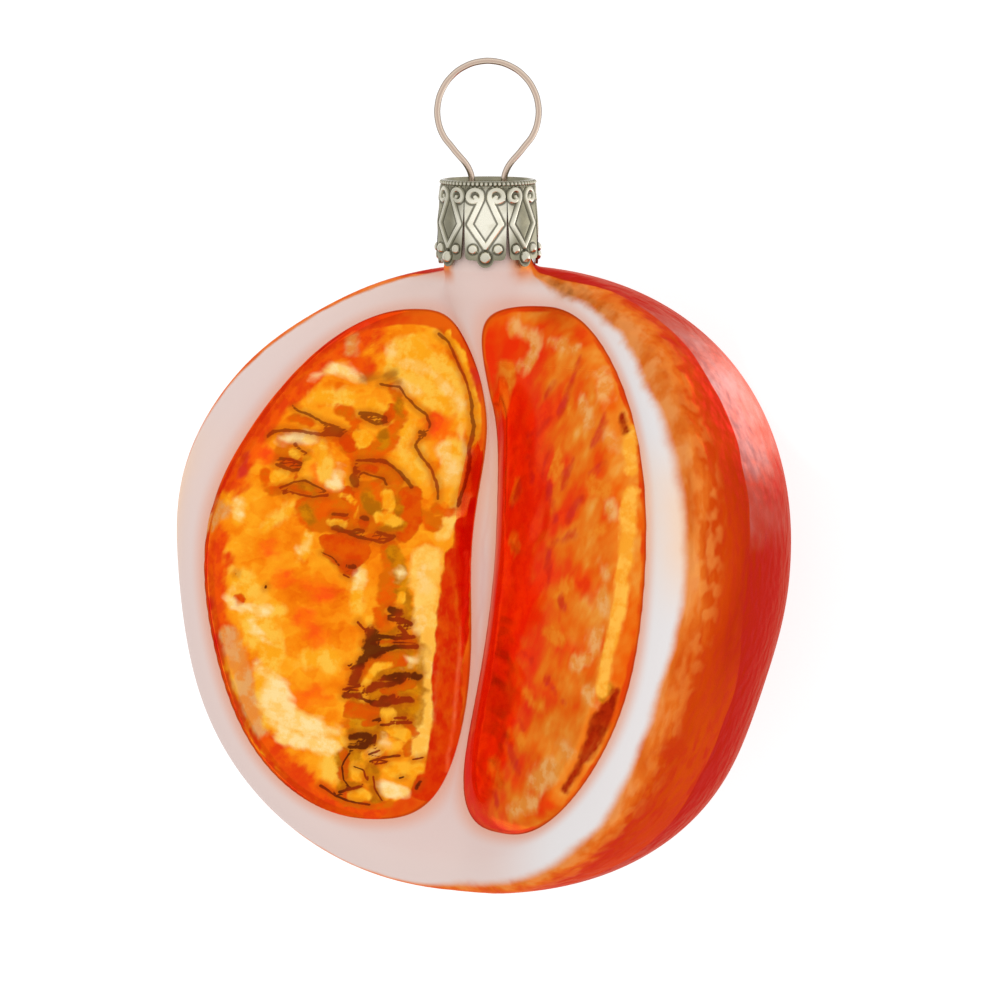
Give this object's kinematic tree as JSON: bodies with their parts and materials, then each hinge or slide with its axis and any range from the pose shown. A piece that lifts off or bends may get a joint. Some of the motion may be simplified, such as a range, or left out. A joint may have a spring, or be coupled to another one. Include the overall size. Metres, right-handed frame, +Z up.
{
  "type": "glass tree ornament in the shape of a cut orange",
  "caption": "Mould-blown glass tree ornament shaped as a cut orange, with two raised pulp segments in a valley-shaped cut, a slotted metal crown cap and a wire hanging loop.",
  "frame": {"origin": "on the flat resting spot at the back of the rind, straight under the stem axis at the widest ring", "axes": "+Y along the stem towards the cap and hanger, +X to the right as the cut is seen, +Z up out of the cut"},
  "size_m": [0.0686, 0.0927, 0.0486],
  "materials": {
    "lacquered_glass": "silvered inside and lacquered outside: glossy orange pulp, matte pale pith, satin orange rind; opaque",
    "cap_metal": "pressed thin sheet with a warm silver plating, embossed",
    "wire": "drawn and plated round wire, bright, pale champagne"
  },
  "bodies": {
    "root": {"glass_body": "lacquered_glass", "crown_cap": "cap_metal", "hanger_wire": "wire"}
  },
  "joints": []
}
